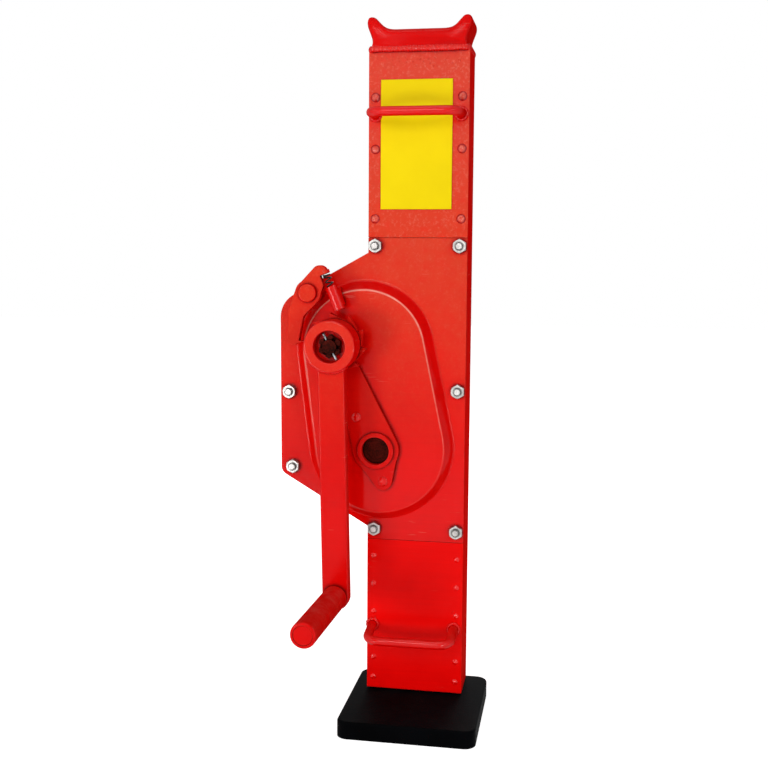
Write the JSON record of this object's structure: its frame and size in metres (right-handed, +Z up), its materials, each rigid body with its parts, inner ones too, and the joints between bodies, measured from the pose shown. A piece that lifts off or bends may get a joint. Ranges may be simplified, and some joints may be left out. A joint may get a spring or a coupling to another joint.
{
  "type": "rack and pinion jack",
  "caption": "Tall steel rack jack: a sheet-steel housing with a horned head climbs a toothed rack on a flat foot as a geared crank with pawl and load brake is turned.",
  "frame": {"origin": "on the floor, under the middle of the housing's width and depth", "axes": "+Z up along the rack, +X to the right seen from the crank side, +Y towards the back"},
  "size_m": [0.221, 0.2333, 0.7263],
  "materials": {
    "red_paint": "glossy red enamel over steel",
    "black_foot": "satin black paint",
    "zinc": "bright zinc plate",
    "gear_steel": "oiled cut steel",
    "rack_steel": "greased milled steel",
    "black_steel": "blackened and oiled",
    "bronze": "sintered bronze",
    "brake_lining": "pressed friction lining",
    "yellow_plate": "plain yellow lacquer, nothing printed"
  },
  "bodies": {
    "rack_and_foot": {"foot_plate": "black_foot", "foot_screws": "zinc", "rack": "rack_steel", "rack_stop": "rack_steel", "rack_stop_screw": "zinc"},
    "housing": {"upper_front_plate": "red_paint", "gear_cover": "red_paint", "lower_front_plate": "red_paint", "back_plate": "red_paint", "right_rail": "red_paint", "left_upper_rail": "red_paint", "left_lower_rail": "red_paint", "gear_case_wall": "red_paint", "lifting_head": "red_paint", "lower_guide": "rack_steel", "thrust_guide": "rack_steel", "upper_rivets": "red_paint", "lower_rivets": "red_paint", "rear_rivets": "red_paint", "cover_bolts": "zinc", "cover_nuts": "zinc", "case_spacers": "rack_steel", "bearing_plate": "red_paint", "bearing_plate_rivets": "red_paint", "crank_front_bush": "bronze", "middle_front_bush": "bronze", "main_front_bush": "bronze", "crank_rear_bush": "bronze", "middle_rear_bush": "bronze", "main_rear_bush": "bronze", "upper_handle": "red_paint", "lower_handle": "red_paint", "label_plate": "yellow_plate", "pawl_pivot": "red_paint", "spring_tube": "red_paint", "pawl_spring": "black_steel"},
    "crank": {"crank_shaft": "black_steel", "inner_friction_disc": "brake_lining", "ratchet_wheel": "red_paint", "outer_friction_disc": "brake_lining", "crank_hub": "red_paint", "crank_arm": "red_paint", "grip_spindle": "red_paint", "castle_nut": "black_steel", "split_pin": "zinc"},
    "grip": {"grip_sleeve": "red_paint"},
    "middle_gears": {"middle_shaft": "gear_steel", "first_wheel": "gear_steel", "first_wheel_key": "gear_steel"},
    "main_gears": {"pinion_shaft": "gear_steel", "main_wheel": "gear_steel", "main_wheel_key": "gear_steel"},
    "pawl": {"pawl": "red_paint"}
  },
  "joints": [
    {"name": "housing_lift", "type": "slide", "parent": "rack_and_foot", "child": "housing", "axis": [0, 0, 1], "range_m": [0, 0.35]},
    {"name": "crank_turn", "type": "hinge", "parent": "housing", "child": "crank", "pos_m": [-0.07909, -0.05, 0.39621], "axis": [0, 1, 0], "range_deg": [0, 10008]},
    {"name": "middle_spin", "type": "hinge", "parent": "housing", "child": "middle_gears", "pos_m": [-0.07691, 0, 0.34626], "axis": [0, 1, 0], "range_deg": [-3340, 4]},
    {"name": "main_spin", "type": "hinge", "parent": "housing", "child": "main_gears", "pos_m": [-0.0394, 0, 0.2848], "axis": [0, 1, 0], "range_deg": [-2, 1114]},
    {"name": "grip_spin", "type": "hinge", "parent": "crank", "child": "grip", "pos_m": [-0.07367, -0.077, 0.13726], "axis": [0.0384, 0.9993, 0], "continuous": true},
    {"name": "pawl_swing", "type": "hinge", "parent": "housing", "child": "pawl", "pos_m": [-0.10809, -0.054, 0.44841], "axis": [0, 1, 0], "range_deg": [-4.5, 10], "stiffness_Nm_per_rad": 1.5, "springref_deg": -28.65, "deforming": ["pawl_spring"]}
  ],
  "couplings": [
    {"joint": "housing_lift", "follows": "crank_turn", "m_per_rad": 0.002},
    {"joint": "middle_spin", "follows": "crank_turn", "ratio": -0.33333},
    {"joint": "main_spin", "follows": "crank_turn", "ratio": 0.11111}
  ]
}
